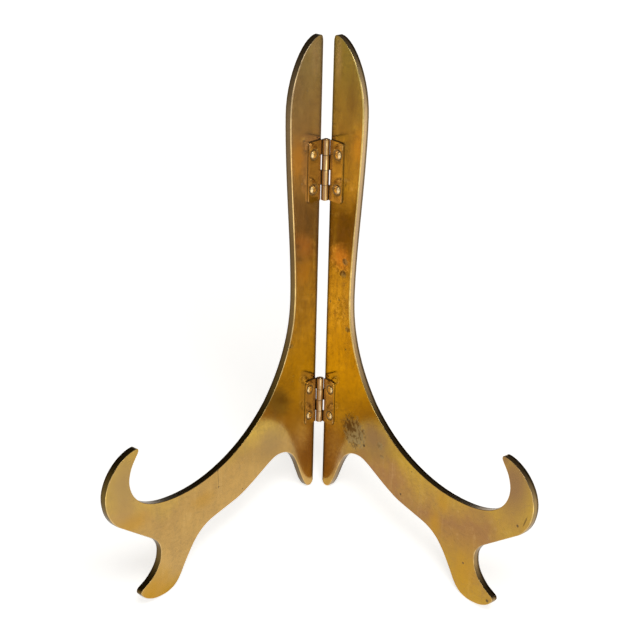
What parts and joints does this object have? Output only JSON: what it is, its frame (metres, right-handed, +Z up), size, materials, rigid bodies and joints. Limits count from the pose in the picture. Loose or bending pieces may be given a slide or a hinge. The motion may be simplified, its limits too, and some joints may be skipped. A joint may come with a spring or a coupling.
{
  "type": "plate display stand",
  "caption": "Folding brass plate stand: flat curved leaves with hooks, feet and tails, joined along their straight edges by small riveted butt hinges so they open like a book.",
  "frame": {"origin": "on the ground, under the middle of the stand's bounding box, with the stand open and standing on its two feet and two tails", "axes": "+Z up, -Y towards the hooks and the person looking at the plate, +X to the right as seen from the front; the hinge pins run up and back in the X = 0 plane, leaning 13.9 degrees from +Z towards +Y"},
  "size_m": [0.164, 0.1258, 0.1901],
  "materials": {
    "leaf_brass": "polished sheet brass, aged to a warm golden brown",
    "hinge_brass": "pressed brass, darker and redder, worn bright at the edges",
    "rivet_brass": "turned brass, polished by handling"
  },
  "bodies": {
    "left_side": {"left_leaf": "leaf_brass", "upper_hinge_left_plate": "hinge_brass", "upper_hinge_pin": "hinge_brass", "upper_hinge_left_top_rivet": "rivet_brass", "upper_hinge_left_bottom_rivet": "rivet_brass", "lower_hinge_left_plate": "hinge_brass", "lower_hinge_pin": "hinge_brass", "lower_hinge_left_top_rivet": "rivet_brass", "lower_hinge_left_bottom_rivet": "rivet_brass"},
    "right_side": {"right_leaf": "leaf_brass", "upper_hinge_right_plate": "hinge_brass", "upper_hinge_right_top_rivet": "rivet_brass", "upper_hinge_right_bottom_rivet": "rivet_brass", "lower_hinge_right_plate": "hinge_brass", "lower_hinge_right_top_rivet": "rivet_brass", "lower_hinge_right_bottom_rivet": "rivet_brass"}
  },
  "joints": [
    {"name": "fold", "type": "hinge", "parent": "left_side", "child": "right_side", "pos_m": [0, 0.01442, 0.00005], "axis": [0, 0.2399, 0.9708], "range_deg": [-82, 119]}
  ]
}
